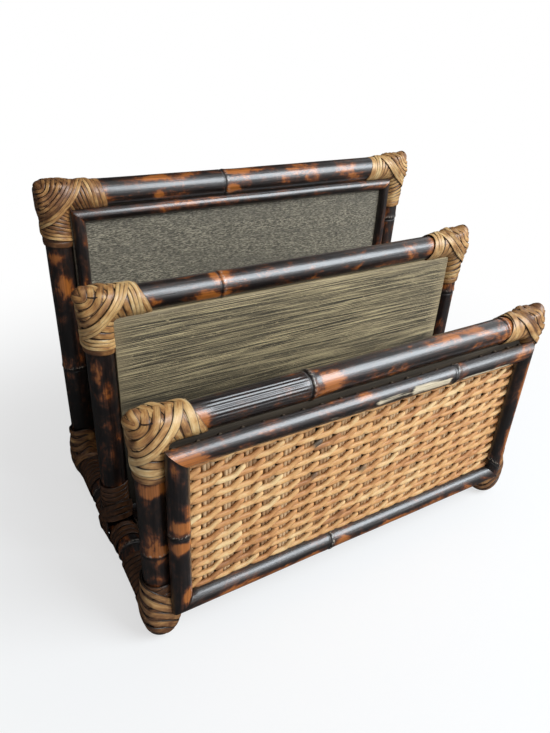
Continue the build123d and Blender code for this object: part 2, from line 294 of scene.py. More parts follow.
def bambooPole(name, origin, way, first, start, end, joints, seed, stands,
               radius=poleRadius, ridge=0.62, glows=(), flutes=None, sag=0.0):
    # round pole along way from start to end; first is the direction of angle zero
    origin, way, first = (np.array(v, float) for v in (origin, way, first))
    second = np.cross(way, first)
    along = poleRings(start, end, joints, 1.5 if flutes else 3.0)
    angle = np.linspace(0, 2 * np.pi, 130 if flutes else 56, endpoint=False)
    s, a = np.meshgrid(along, angle, indexing="ij")
    r = radius - 0.12 + jointProfile(s, joints, ridge)
    r += 0.10 * waves(s, seed, 23.0) + 0.07 * waves(a * 3 + s / 90, seed + 1, 1.0)
    for joint in joints:
        r -= 0.10 * bump(s, joint + 12, 9.0)
    if flutes:
        low, high, soft = flutes["low"], flutes["high"], flutes["soft"]
        mask = smoothStep(s, low - soft, low + soft) * (1 - smoothStep(s, high - soft, high + soft))
        cut = 0.5 - 0.5 * np.cos(a * flutes["count"] + 0.25 * waves(s, seed + 5, 30.0))
        r -= flutes["depth"] * mask * cut ** 2 * (0.7 + 0.3 * waves(a * 5, seed + 6, 1.0))
    bow = np.sin(np.pi * (s - start) / (end - start))
    lean = 0.22 * waves(s, seed + 9, 60.0) * bow
    up, out = sag * bow + r * np.cos(a), lean + r * np.sin(a)
    points = origin + s[..., None] * way + up[..., None] * first + out[..., None] * second
    glow = np.zeros_like(s)
    for place, width, turn, reach, strength in glows:
        gap = np.angle(np.exp(1j * (a - math.radians(turn))))
        glow += strength * bump(s, place, width) * bump(gap, 0, math.radians(reach))
    for joint in joints:
        glow += 0.35 * bump(s, joint + 3, 4.0) * (0.6 + 0.4 * waves(a * 4, seed + 3, 1.0))
        glow -= 0.5 * bump(s, joint - 1.4, 1.0)
    scar = jointProfile(s, joints, 1.0).clip(0, 1)
    rows, columns = s.shape
    verts, faces = points.reshape(-1, 3), gridFaces(rows, columns)
    for ring, place in ((0, start), (rows - 1, end)):            # both ends are closed by a flat disc
        tip = len(verts)
        verts = np.vstack([verts, origin + place * way])
        for j in range(columns):
            a0, b0 = ring * columns + j, ring * columns + (j + 1) % columns
            faces.append((a0, tip, b0) if ring else (b0, tip, a0))
    grain = np.vstack([perPoint(s.shape, s, a * radius, seed * 7.31), (start, 0, seed), (end, 0, seed)])
    tint = np.vstack([perPoint(s.shape, glow, 0, scar, 1), (0.2, 0, 0, 1), (0.2, 0, 0, 1)])
    makePiece(name, verts, faces, poleFinish, stands, grain, tint, sharp=50)


# joints are places along the pole; glows, the rust seen on the real one, are (place, width, angle, reach,
# strength)
sidePoles = {
    "radius": 7.6,
    "joints": {"left": (-23.35, 29.65), "right": (-24.35, 28.65)},
}
posts = {
    "low": {"front": 2.6, "middle": 21.2, "rear": 2.6},          # the middle posts stand on the side rails
    "overTop": 7.4,
    "ridge": 0.32,
    "joints": {
        "front": ((60.0,), (47.0,)), "middle": ((42.0,), (70.0, 126.0)), "rear": ((88.0,), (74.0, 158.0)),
    },
    # angle 0 is to the right on a post and 90 is towards the back
    "glows": {
        ("front", 0): ((101, 3.6, 260, 70, 1.4), (40, 12, 215, 40, 0.3), (63, 9, 250, 55, 0.62)),
        ("front", 1): ((90, 12, 320, 50, 0.9), (60, 10, 320, 50, 0.6), (35, 9, 320, 50, 0.5)),
        ("middle", 0): ((126, 8, 225, 26, 0.34), (74, 8, 225, 26, 0.25)),
        ("middle", 1): ((120, 12, 250, 50, 0.12), (95, 10, 240, 50, 0.2)),
        ("rear", 0): ((144, 6, 262, 34, 0.9), (161, 3, 232, 36, 0.8)),
        ("rear", 1): ((150, 8, 260, 50, 0.3), (120, 12, 230, 50, 0.3)),
    },
}
topRails = {
    "short": 6.5,            # how far the rail ends before the middle of the post
    "sag": -0.5,
    "joints": {"front": (-39.0, 97.0), "middle": (-53.0,), "rear": (-17.0,)},
    "ridge": {"front": 0.5, "middle": 0.2, "rear": 0.2},
    "radius": {"front": 7.5, "middle": 7.5, "rear": 8.1},
    "rise": {"front": 0.0, "middle": 0.0, "rear": 0.5},
    "flutes": {"front": {"low": -93, "high": -43, "soft": 4.0, "depth": 0.42, "count": 26}},
    # angle 0 is up on a rail and 90 is towards the front
    "glows": {
        "front": ((-28, 7, 60, 60, 1.0), (-98, 3.5, 85, 45, 1.4), (58, 20, 15, 32, 0.75),
                  (96, 7, 55, 80, 0.7), (78, 10, 80, 50, 0.45), (10, 12, 110, 30, 0.4)),
        "middle": ((-54, 7, 32, 38, 1.1), (-62, 10, 114, 16, 0.7), (-93, 3, 100, 34, 0.4),
                   (60, 12, 114, 16, 0.6), (97, 5, 60, 50, 0.6), (79, 5, 50, 40, 0.45),
                   (4, 16, 114, 16, 0.2)),
        "rear": ((-93, 3.5, 76, 40, 1.0), (-60, 8, 24, 26, 0.9), (-41, 7, 22, 28, 0.95),
                 (-62, 3.5, 106, 24, 1.1), (-14, 5, 104, 24, 1.3), (-6, 10, 26, 28, 1.0),
                 (35, 13, 40, 36, 0.7), (75, 10, 80, 60, 0.6)),
    },
}
baseRails = {
    "short": 7.4,
    "joints": {"front": (-52.0, 41.0), "middle": (-30.0, 66.0), "rear": (-61.0, 24.0)},
    "glows": ((-60, 14, 80, 50, 0.4), (20, 14, 80, 50, 0.35), (80, 14, 80, 50, 0.4)),
}

seed = 11
for side, sign in (("left", -1), ("right", 1)):
    outer, thick = 180 - 90 * sign, sidePoles["radius"]
    bambooPole("side_pole_" + side, (sign * half, 0, sideZ), yWay, zWay, holder["frameY"]["front"] + thick,
               holder["frameY"]["rear"] - thick, sidePoles["joints"][side], seed, ("side_rail_" + side,),
               radius=thick, glows=((-12, 9, outer, 60, 0.1), (34, 9, outer, 60, 0.1)))
    seed += 3
for tier, y in holder["frameY"].items():
    top = holder["topZ"][tier]
    for n, (side, sign) in enumerate((("left", -1), ("right", 1))):
        bambooPole(tier + "_upright_" + side, (sign * half, y, 0), zWay, xWay, posts["low"][tier],
                   top + posts["overTop"], posts["joints"][tier][n], seed, (tier + "_post_" + side,),
                   ridge=posts["ridge"], glows=posts["glows"][(tier, n)])
        seed += 3
    long = half - topRails["short"]
    look = {key: topRails[key].get(tier) for key in ("radius", "ridge", "glows", "flutes")}
    bambooPole(tier + "_crown_rail", (0, y, top + topRails["rise"][tier]), xWay, zWay, -long, long,
               topRails["joints"][tier], seed, (tier + "_top_rail",), sag=topRails["sag"], **look)
    long = half - baseRails["short"]
    bambooPole(tier + "_base_pole", (0, y, baseZ), xWay, zWay, -long, long, baseRails["joints"][tier],
               seed + 1, (tier + "_bottom_rail",), glows=baseRails["glows"])
    seed += 3
print("poles made")


# split bamboo mouldings
def splitBamboo(name, origin, way, inward, low, high, joints, seed, stands, radius, glows, raws):
    # half round moulding with mitred ends, round side to the front; inward points into the opening
    origin, way, inward = (np.array(v, float) for v in (origin, way, inward))
    share = (poleRings(low, high, joints) - low) / (high - low)
    s, a = np.meshgrid(share, np.radians(np.linspace(-4, 184, 27)), indexing="ij")
    place = low + s * (high - low)
    r = radius - 0.08 + jointProfile(place, joints, 0.30)
    r += 0.09 * waves(place, seed, 19.0) + 0.05 * waves(a * 4, seed + 1, 1.0)
    across = r * np.cos(a)                       # towards the opening
    proud = np.maximum(r * np.sin(a), 0.0)       # off the board
    mitred = (low + across) * (1 - s) + (high - across) * s
    bow = 0.35 * waves(place, seed + 2, 50.0)
    points = origin + mitred[..., None] * way + (across + bow)[..., None] * inward - proud[..., None] * yWay
    back = []
    for u in (-0.97 * radius, 0.97 * radius):
        mitred = (low + u) * (1 - share) + (high - u) * share
        back.append(origin + mitred[:, None] * way + u * inward)
    points = np.concatenate([points, np.stack(back, 1)], 1)
    full = np.concatenate([a, np.full((len(a), 2), np.pi * 1.5)], 1)
    place = np.concatenate([place, place[:, :2]], 1)
    glow, raw = np.zeros_like(full), np.zeros_like(full)
    for centre, width, angle, reach, strength in glows:
        glow += strength * bump(place, centre, width) * bump(full, math.radians(angle), math.radians(reach))
    for joint in joints:
        glow += 0.3 * bump(place, joint + 4, 5.0) - 0.6 * bump(place, joint - 1.5, 1.5)
    for start, end, angle, reach, strength in raws:
        inside = smoothStep(place, start - 6, start + 10) * (1 - smoothStep(place, end - 4, end + 2))
        ragged = 0.75 + 0.25 * waves(place, seed + 4, 3.0) + 0.25 * waves(place + full * 20, seed + 5, 9.0)
        raw += strength * inside * ragged * bump(full, math.radians(angle), math.radians(reach))
    scar = jointProfile(place, joints, 1.0).clip(0, 1)
    tube = (points, (place, full * radius, seed * 3.7), (glow, raw, scar))
    makeTubes(name, [tube], trimFinish, stands, sharp=55)


def surround(tier, look, seed):
    # four mouldings round an opening
    y, side, low, high = look["face"], look["side"], look["low"], look["high"]
    for edge, origin, way, inward, start, end in (
        ("top", (0, y, high), xWay, (0, 0, -1), -side, side),
        ("bottom", (0, y, low), xWay, zWay, -side, side),
        ("left", (-side, y, 0), zWay, xWay, low, high),
        ("right", (side, y, 0), zWay, (-1, 0, 0), low, high),
    ):
        joints, glows, raws = (look[key].get(edge, ()) for key in ("joints", "glows", "raws"))
        splitBamboo(tier + "_moulding_" + edge, origin, way, inward, start, end, joints, seed,
                    (tier + "_trim_" + edge,), look["radius"], glows, raws)
        seed += 3


frontTrim = {
    "radius": 5.6, "side": 111.2, "low": 25.5, "high": 117.9, "face": -76.85,
    "joints": {"top": (51.0,), "bottom": (-22.0,), "left": (75.0,), "right": (34.0,)},
    # (place, width, angle, reach, strength); angle 0 is the edge at the opening, 180 the outer edge
    "glows": {
        "top": ((-107, 8, 110, 60, 1.4), (-14, 10, 150, 30, 0.5), (104, 8, 120, 50, 0.8)),
        "bottom": ((-90, 18, 104, 20, 0.8), (-50, 22, 104, 20, 0.9), (-14, 4, 90, 36, 0.7),
                   (20, 24, 104, 20, 0.9), (72, 28, 104, 20, 0.8)),
        "left": ((68, 3.2, 90, 70, 1.8), (81, 2.4, 90, 60, 1.5), (113, 7, 128, 20, 0.9),
                 (32.5, 3.6, 62, 36, 1.6), (92, 7, 60, 28, 0.5)),
        "right": ((92, 20, 108, 26, 1.1), (54, 16, 108, 26, 1.0)),
    },
    # bare streaks, (start, end, angle, reach, strength)
    "raws": {
        "top": ((-8, 48, 92, 26, 1.0), (53, 100, 68, 16, 0.8), (-40, -8, 80, 12, 0.5)),
        "left": ((74, 110, 60, 14, 0.3), (28, 60, 66, 14, 0.25)),
    },
}
rearTrim = {
    "radius": 3.9, "side": 109.4, "low": 33.4, "high": 183.9, "face": 66.65, "joints": {}, "raws": {},
    "glows": {edge: ((-40, 60, 120, 70, 0.35), (120, 30, 90, 70, 0.4)) for edge in frontTrim["joints"]},
}
surround("front", frontTrim, seed)
surround("rear", rearTrim, seed + 12)
print("mouldings made")


# boards
def veneer(name, look):
    # stained open grained board: fine dark pores and pale flecks along the grain
    s = newMaterial(name)
    edge = s.carried()[1]
    along, across = s.grain[:2]
    broad = s.noise(0.012, 0.10, 4.0, 0.6, 0.3)
    lines = s.noise(look["lineLength"], look["lineWidth"], 5.0, 0.62, 0.15)
    flecks = s.noise(0.30, 1.7, 3.0, 0.7)
    dust = s.noise(1.6, 2.4, 2.0, 0.6)
    stops = ((0.0, look["dark"]), (0.48, look["mid"]), (1.0, look["pale"]))
    colour = s.ramp(s.range(lines, look["from"], look["to"]), stops)
    colour = s.mix(s.range(broad, 0.3, 0.72, 0.0, 0.55), colour, look["deep"])
    colour = s.mix(s.range(flecks, 0.60, 0.74, 0.0, look["fleck"]), colour, look["pale"])
    colour = s.mix(s.range(dust, 0.66, 0.8, 0.0, 0.25), colour, (0.2, 0.17, 0.13))
    colour = s.mix(s.math("MULTIPLY", edge, 0.8), colour, look["edge"])
    bottom, top, least = look["paintedShade"]            # painted shade: darker towards the lower left, deep in the slot
    lit = s.range(s.total((across, 1), (along, 0.2)), bottom, top, least, 1.0)
    colour = s.mix(lit, look["dark"], colour)
    height = s.total((lines, 1), (flecks, 0.5))
    return s.finish(colour, s.range(lines, 0.2, 0.8, 0.62, 0.45), s.bumpOf(height, 0.6, 0.35))


veneers = {
    "middle": {
        "dark": (0.030, 0.025, 0.017), "mid": (0.185, 0.146, 0.084), "pale": (0.84, 0.665, 0.365),
        "deep": (0.10, 0.080, 0.050), "edge": (0.42, 0.32, 0.18), "lineLength": 0.022, "lineWidth": 3.5,
        "fleck": 0.8, "from": 0.45, "to": 0.595, "paintedShade": (40, 114, 0.0),
    },
    "rear": {
        "dark": (0.060, 0.051, 0.036), "mid": (0.18, 0.157, 0.112), "pale": (0.44, 0.385, 0.28),
        "deep": (0.12, 0.105, 0.080), "edge": (0.16, 0.12, 0.08), "lineLength": 0.50, "lineWidth": 2.6,
        "fleck": 0.5, "from": 0.39, "to": 0.64, "paintedShade": (60, 150, 0.15),
    },
    "floor": {
        "dark": (0.02, 0.014, 0.010), "mid": (0.045, 0.033, 0.022), "pale": (0.10, 0.075, 0.05),
        "deep": (0.03, 0.024, 0.018), "edge": (0.06, 0.045, 0.03), "lineLength": 0.03, "lineWidth": 0.7,
        "fleck": 0.25, "from": 0.30, "to": 0.72, "paintedShade": (-200, -100, 1.0),
    },
}
veneerFinish = {key: veneer(key + "_veneer", look) for key, look in veneers.items()}


def board(name, low, high, axis, finish, slot, stands, seed):
    # thin board with eased edges, thin along axis; it is cut up so that it can be a little uneven
    low, high = np.array(low, float), np.array(high, float)
    form = bmesh.new()
    bmesh.ops.create_cube(form, size=1.0)
    for v in form.verts:
        v.co = Vector([(high[i] + low[i]) / 2 + v.co[i] * (high[i] - low[i]) for i in range(3)])
    long = [e for e in form.edges if (e.verts[0].co - e.verts[1].co).length > 20]
    bmesh.ops.bevel(form, geom=long, offset=0.5, segments=2, affect="EDGES", profile=0.6)
    long = [e for e in form.edges if e.calc_length() > 60]
    bmesh.ops.subdivide_edges(form, edges=long, cuts=24, use_grid_fill=True)
    phase = np.random.default_rng(seed).uniform(0, 6, 4)
    for v in form.verts:
        waveX, waveAcross = math.sin(v.co.x / 31 + phase[0]), math.sin(v.co[3 - axis] / 17 + phase[1])
        v.co[axis] += 0.12 * waveX + 0.08 * waveAcross
    form.normal_update()
    verts = np.array([tuple(v.co) for v in form.verts])
    faces = [[v.index for v in f.verts] for f in form.faces]
    form.free()
    along, across = verts[:, 0], verts[:, 3 - axis]
    inset = np.minimum.reduce([along - low[0], high[0] - along, across - across.min(), across.max() - across])
    grain = perPoint(along.shape, along, across + 0.8 * verts[:, axis], seed * 2.3)
    tint = perPoint(along.shape, 0, np.clip(1 - inset / 0.9, 0, 1), 0, 1)
    makePiece(name, verts, faces, veneerFinish[finish], (stands,), grain, tint, sharp=40)


boards = {
    # two opposite corners, the axis along which it is thin, finish, slot, what it stands for, seed
    "middle_board": ((-113.4, -2.95, 29.4), (113.4, 0.65, 152.0), 1,
                     "middle", "veneer_panel", "middle_panel", 201),
    "rear_board": ((-113.4, 66.65, 29.4), (113.4, 70.25, 187.0), 1,
                   "rear", "veneer_panel", "rear_panel", 202),
    "bottom_board": ((-112.9, -67.35, 12.0), (112.9, 72.65, 15.0), 2,
                     "floor", "plain_board", "floor_board", 203),
    "weave_backing": ((-113.2, -71.9, 29.6), (113.2, -69.65, 123.6), 1,
                      "floor", "plain_board", "front_backing", 204),
}
for name, shape in boards.items():
    board(name, *shape)
print("boards made")


# cane and reed finishes
def caneFinish(name, look):
    # peel or core cane; its masks are tone, stain (on the woven rows also painted shade under the top
    # moulding) and edge (painted shade along and under the binding strips)
    s = newMaterial(name)
    tone, stainAndShade, edge = s.carried()
    fibre = s.noise(0.07, 2.6, 4.0, 0.62)
    blotch = s.noise(0.16, 0.30, 3.0, 0.55, 0.4)
    fleck = s.noise(0.8, 1.9, 3.0, 0.7)
    heat = s.sway(s.total((tone, 0.62), (blotch, 0.55)), fibre, 0.38)
    colour = s.ramp(s.range(heat, 0.10, 0.92), look["stops"])
    colour = s.mix(s.range(fleck, 0.64, 0.76, 0.0, look["fleck"]), colour, look["fleckColour"])
    # edge mask: painted shade along the edges and undersides of the binding strips; on the woven strands it
    # darkens their edges
    colour = s.mix(s.math("MULTIPLY", edge, look["edgeDark"], clamp=True), colour, look["edgeColour"])
    # real dark stains, and on the woven rows painted shade under the top moulding
    colour = s.mix(s.range(s.sway(stainAndShade, blotch, 0.9), 0.35, 0.8), colour, look["stainAndShadeColour"])
    roughness = s.range(fibre, 0.2, 0.8, look["rough"], look["rough"] + 0.16)
    normal = s.bumpOf(s.total((fibre, 1), (fleck, 0.35)), look["bump"], 0.22)
    return s.finish(colour, roughness, normal, Coat_Weight=look["coat"], Coat_Roughness=0.25)


caneLooks = {
    "binding": {
        "stops": ((0.0, (0.045, 0.018, 0.008)), (0.28, (0.17, 0.066, 0.022)), (0.55, (0.44, 0.215, 0.070)),
                  (0.80, (0.70, 0.44, 0.18)), (1.0, (0.86, 0.67, 0.38))),
        "fleck": 0.35, "fleckColour": (0.10, 0.05, 0.022), "edgeDark": 0.95,
        "edgeColour": (0.018, 0.009, 0.005), "stainAndShadeColour": (0.05, 0.03, 0.018),
        "rough": 0.36, "bump": 0.5, "coat": 0.15,
    },
    "weave": {
        "stops": ((0.0, (0.30, 0.12, 0.040)), (0.3, (0.56, 0.25, 0.085)), (0.65, (0.74, 0.40, 0.15)),
                  (1.0, (0.86, 0.62, 0.31))),
        "fleck": 0.35, "fleckColour": (0.40, 0.19, 0.075), "edgeDark": 0.55,
        "edgeColour": (0.24, 0.10, 0.035), "stainAndShadeColour": (0.11, 0.078, 0.050),
        "rough": 0.46, "bump": 0.6, "coat": 0.05,
    },
    "stake": {
        "stops": ((0.0, (0.24, 0.125, 0.060)), (0.5, (0.50, 0.30, 0.145)), (1.0, (0.70, 0.49, 0.28))),
        "fleck": 0.4, "fleckColour": (0.12, 0.07, 0.04), "edgeDark": 0.3, "edgeColour": (0.1, 0.05, 0.03),
        "stainAndShadeColour": (0.06, 0.05, 0.04), "rough": 0.5, "bump": 0.6, "coat": 0.0,
    },
}
caneOf = {key: caneFinish(key + "_cane", look) for key, look in caneLooks.items()}

# woven panel: twined rows over thin stakes
weave = {
    "pitch": 11.1, "firstHead": -88.5, "rows": 13, "low": 30.0, "high": 123.0, "half": 112.2,
    "frontY": -75.9, "backY": -72.75, "width": 3.35, "thick": 2.2, "dip": 1.95, "lift": 1.75,
    "stitch": 1.76, "climb": 0.60,
    "lastPush": 1.9,         # the last row is pushed down under the moulding
    # dark marks on the real panel: (x, z, reach, strength)
    "stains": ((-35.5, 99, 4, 1.0), (-50, 79, 3.5, 0.8), (-34, 78, 3.2, 0.8), (27, 85, 4, 1.1),
               (39, 80, 4, 0.9), (-8, 97, 5, 0.7), (-3, 70, 3, 1.0), (6, 60, 3, 0.6), (-98, 100, 5, 0.5),
               (12, 98, 7, 0.5), (-60, 38, 6, 0.45), (52, 45, 3, 0.7), (-86, 35, 4, 0.5)),
}
stake = {"y": -74.2, "top": 117.6, "after": 4.3, "gap": 2.15, "radius": 1.18}
w = weave
rowPitch = (w["high"] - w["low"]) / w["rows"]


def stainAt(x, z):
    total = np.zeros_like(x)
    for cx, cz, reach, strength in w["stains"]:
        total += strength * np.exp(-((x - cx) ** 2 + (z - cz) ** 2) / reach ** 2)
    return total


def strandPath(row, lane, rng):
    # one of the two strands of a row: it runs low, climbs at the end of a stitch and dives behind the stakes
    pitch = w["pitch"]
    head = w["firstHead"] - 4 * pitch + (lane % 2) * pitch
    z0 = w["low"] + rowPitch * (row + 0.5)
    reach = w["stitch"] * pitch
    path = []                # x, y, z, tone, width and dark mark of every step
    slip = 0.0
    while head < w["half"] + 2 * pitch:
        here = head + slip
        slip = rng.uniform(-0.8, 0.8)
        nextHead = head + 2 * pitch + slip
        dip, lift = w["dip"] + rng.uniform(-0.3, 0.3), w["lift"] + rng.uniform(-0.45, 0.30)
        if row == w["rows"] - 1:
            lift -= w["lastPush"]
        bulge = rng.uniform(-0.2, 0.4)
        tone = np.clip(0.42 + rng.normal(0, 0.15), 0.0, 1.0)
        wide = rng.uniform(0.86, 1.10)
        climb = w["climb"] + rng.uniform(-0.08, 0.06)
        mark = float(stainAt(np.array([here - 2.0]), np.array([z0 + 1.0]))[0])
        for q in np.concatenate([np.linspace(0, 0.9, 17), (0.93, 0.955, 0.975, 0.99, 1.0)]):
            rise = 0.15 * q + 0.85 * smoothStep(q, climb, 0.955)
            forward = smoothStep(q, -0.04, 0.27) * (1 - smoothStep(q, 0.95, 1.005))
            y = w["backY"] + (w["frontY"] - w["backY"]) * forward - bulge * math.sin(math.pi * q)
            width = wide * (1.0 - 0.22 * (1 - smoothStep(q, 0.0, 0.4)) - 0.04 * smoothStep(q, 0.8, 1.0))
            z = z0 - dip + (dip + lift) * rise
            path.append((here - reach * (1 - q), y, z, tone, width, mark * smoothStep(q, 0.45, 0.9)))
        following = nextHead - reach
        for q in (0.25, 0.5, 0.75):
            z = z0 + lift - (dip + lift) * smoothStep(q, 0, 1)
            path.append((here + q * (following - here), w["backY"], z, tone, 0.72, 0.0))
        head += 2 * pitch
    path = np.array(path)
    path = path[np.abs(path[:, 0]) < w["half"]]
    return path[:, :3], path[:, 3], path[:, 4], path[:, 5]


def sweepStrand(points, widths, thick, sides=10):
    # oval strand along a path; its wide side stays near the plane of the panel
    tangent = np.gradient(points, axis=0)
    tangent /= np.linalg.norm(tangent, axis=1)[:, None]
    up = np.tile(np.array(zWay, float), (len(points), 1))
    up -= (up * tangent).sum(1)[:, None] * tangent
    up /= np.linalg.norm(up, axis=1)[:, None]
    side = np.cross(tangent, up)
    angle = np.linspace(0, 2 * np.pi, sides, endpoint=False)
    flat = np.sign(np.cos(angle)) * np.abs(np.cos(angle)) ** 0.8
    proud = np.sign(np.sin(angle)) * np.abs(np.sin(angle)) ** 0.9
    ring = points[:, None, :] + (widths[:, None] / 2 * flat)[..., None] * up[:, None, :]
    return ring + (thick / 2 * proud)[..., None] * side[:, None, :], flat, angle


for row in range(w["rows"]):
    strands = []
    rng = np.random.default_rng(500 + row)
    for lane in (0, 1):
        points, tones, wide, marks = strandPath(row, lane, rng)
        ring, flat, angle = sweepStrand(points, w["width"] * wide, w["thick"])
        soft = 0.12 * stainAt(points[:, 0], points[:, 2]) + 0.85 * marks
        z = ring[..., 2]
        # real stains plus painted shade under the top moulding: darker above z 113.5, much darker above 118.5
        stainAndShade = soft[:, None] + 0.35 * smoothStep(z, 113.5, 116.5) + 1.5 * smoothStep(z, 118.5, 120)
        strands.append((ring, (lengthAlong(points)[:, None], angle * 1.6, row * 9.7 + lane * 4.1),
                        (tones[:, None], stainAndShade, np.abs(flat) ** 4 * 0.8)))
    number = str(row + 1).zfill(2)
    makeTubes("woven_row_" + number, strands, caneOf["weave"], ("weft_row_" + number,))

stakes = []
rng = np.random.default_rng(77)
zs = np.linspace(w["low"] + 0.3, stake["top"], 24)
angle = np.linspace(0, 2 * np.pi, 8, endpoint=False)
spokes = stake["radius"] * np.stack([np.cos(angle), np.sin(angle) * 0.85, np.zeros(8)], -1)
column = w["firstHead"] - 3 * w["pitch"] + stake["after"]
while column < w["half"] + w["pitch"]:
    for offset in (-stake["gap"], 0.0, stake["gap"]):
        x = column + offset + rng.uniform(-0.15, 0.15)
        if abs(x) < w["half"] - 1:
            wobble = len(stakes) * len(zs) * len(angle)
            xs = x + 0.25 * waves(zs, wobble + 300, 11.0)
            ys = stake["y"] + 0.12 * waves(zs, wobble + 90000, 6.0)
            ring = np.stack([xs, ys, zs], 1)[:, None, :] + spokes
            stakes.append((ring, (zs[:, None], angle * 0.8, x), (rng.uniform(0.2, 0.9), 0, 0)))
    column += w["pitch"]
makeTubes("thin_stakes", stakes, caneOf["stake"], ("weave_stakes",))
print("woven panel made")


# cane bindings: flat strips drawn tight over the joined poles
def skinDistance(points, parts, blend):
    # distance from the skin of the joined poles; parts are (origin, way, start, end, radius, softness),
    # or (point, way) for a flat side that pinches them
    total = 0.0
    for origin, way, start, end, radius, soft in (part for part in parts if len(part) == 6):
        rel = points - np.array(origin)
        s = rel @ np.array(way, float)
        radial = np.sqrt(np.maximum((rel ** 2).sum(-1) - s ** 2, 1e-12))
        dr = radial - radius + soft
        ds = np.abs(s - (start + end) / 2) - (end - start) / 2 + soft
        outside = np.sqrt(np.maximum(dr, 0) ** 2 + np.maximum(ds, 0) ** 2)
        d = np.minimum(np.maximum(dr, ds), 0) + outside - soft
        total = total + np.exp(-np.clip(d, -20, 60) / blend)
    skin = -blend * np.log(np.maximum(total, 1e-30))
    for point, way in (part for part in parts if len(part) == 2):
        skin = np.logaddexp(skin / 0.9, ((points - point) @ way) / 0.9) * 0.9
    return skin


def skinNormal(points, parts, blend):
    slope = np.stack([
        skinDistance(points + step, parts, blend) - skinDistance(points - step, parts, blend)
        for step in 0.08 * np.eye(3)
    ], -1)
    return slope / np.maximum(np.linalg.norm(slope, axis=-1, keepdims=True), 1e-9)


def ontoSkin(points, parts, blend, height, rounds):
    for _ in range(rounds):
        gap = skinDistance(points, parts, blend) - height
        points = points - skinNormal(points, parts, blend) * np.clip(gap, -4, 4)[..., None]
    return points


def smoothLoop(controls, count):
    # closed curve through the control points (x, y, z, height, hold), cut into count even steps
    controls = np.array(controls, float)
    n, between = len(controls), 24
    dense = []
    for i in range(n):
        p0, p1, p2, p3 = (controls[(i + k) % n, :3] for k in (-1, 0, 1, 2))
        for q in np.linspace(0, 1, between, endpoint=False):
            square, cube = 2 * p0 - 5 * p1 + 4 * p2 - p3, 3 * p1 - p0 - 3 * p2 + p3
            dense.append(0.5 * ((2 * p1) + (p2 - p0) * q + square * q * q + cube * q ** 3))
    closed = np.array(dense + dense[:1])
    run = lengthAlong(closed)
    even = np.linspace(0, run[-1], count, endpoint=False)
    points = np.stack([np.interp(even, run, closed[:, i]) for i in range(3)], 1)
    turnEnds = np.append(controls[:, 3], controls[0, 3])
    height = np.interp(even, run, np.interp(np.arange(len(run)) / between, np.arange(n + 1), turnEnds))
    hold = np.zeros(count)
    for i in range(n):
        if controls[i, 4] > 0:
            hold[int(np.argmin(np.abs(even - run[i * between])))] = controls[i, 4]
    return points, height, hold


strip = {"thick": 0.8, "shadeFrom": 0.345, "shadeSoft": 0.08}       # painted shade lies outside that share of the width
stripShape = np.array([  # across, proud: a flat peel with eased edges
    (-0.50, -0.25), (-0.485, 0.15), (-0.445, 0.36), (-0.36, 0.46), (-0.18, 0.50), (0.0, 0.51),
    (0.18, 0.50), (0.36, 0.46), (0.445, 0.36), (0.485, 0.15), (0.50, -0.25), (0.42, -0.5), (-0.42, -0.5),
])


def bindJoint(name, loops, parts, stands, seed, blend=1.6, count=150, tilt=0.0):
    # loops are (controls, width, tone, painted shade along the edges); every loop becomes one closed strip
    points, heights, holds = (np.stack(v) for v in zip(*(smoothLoop(loop[0], count) for loop in loops)))
    points = ontoSkin(points, parts, blend, heights, 6)
    rounds, loose = 34, 5                          # in the last rounds the strips are held less
    for turn in range(rounds):
        middle = (np.roll(points, 1, 1) + np.roll(points, -1, 1)) / 2
        hold = holds if turn < rounds - loose else holds * 0.4
        points = points + (0.75 * (1 - hold))[..., None] * (middle - points)
        points = ontoSkin(points, parts, blend, heights, 1)
    points = ontoSkin(points, parts, blend, heights, 3)
    tangent = np.roll(points, -1, 1) - np.roll(points, 1, 1)
    tangent /= np.linalg.norm(tangent, axis=-1, keepdims=True)
    side = np.cross(tangent, skinNormal(points, parts, blend))
    side /= np.linalg.norm(side, axis=-1, keepdims=True)
    across, proud = stripShape.T
    strips = []
    for i, (controls, width, tone, edgeShade) in enumerate(loops):
        wobble = 1 + 0.05 * waves(np.arange(count), seed + i, 9.0)
        spread = across * width * wobble[:, None]
        ring = points[i][:, None, :] + spread[..., None] * side[i][:, None, :]
        ring = ontoSkin(ring, parts, blend, heights[i][:, None] + proud * strip["thick"] + across * tilt, 3)
        length = lengthAlong(points[i])
        toneHere = np.clip(tone + 0.10 * waves(length, seed + 40 + i, 14.0), 0, 1)
        # painted shade: dark along the edges of each strip, where it meets its neighbours, and on its
        # underside
        rim = np.clip((np.abs(across) - strip["shadeFrom"]) / strip["shadeSoft"], 0, 1)
        edge = edgeShade * rim + (proud < 0)
        strips.append((ring, (length[:, None], spread, seed + 3.3 * i), (toneHere[:, None], 0, edge)))
    makeTubes(name, strips, caneOf["binding"], stands, endless=True)


reach = 9.2              # how far from the middle of a pole the strips are led round it
lift = {"base": 0.25, "under": 0.50, "over": 1.15, "top": 1.65}


def turnAround(centre, way, tilt, width, height, tone):
    # plain turn round one pole; tilt leans it towards a direction
    centre, way, tilt = np.array(centre, float), np.array(way, float), np.array(tilt, float)
    first = np.cross(way, (0.31, 0.27, 0.91))
    first /= np.linalg.norm(first)
    second = np.cross(way, first)
    controls = []
    for angle in np.linspace(0, 2 * np.pi, 8, endpoint=False):
        spoke = math.cos(angle) * first + math.sin(angle) * second
        controls.append((*(centre + reach * spoke + way * float(spoke @ tilt)), height, 0.0))
    return controls, width, tone, 0.8


def turnRow(centres, way, tilt, width, tone, rng, rise=0.0):
    # a row of plain turns; tone is (usual, least, most), the last two added to the first
    return [turnAround(centre, way, tilt, width, lift["under"] + rise * k, tone[0] + rng.uniform(*tone[1:]))
            for k, centre in enumerate(centres)]


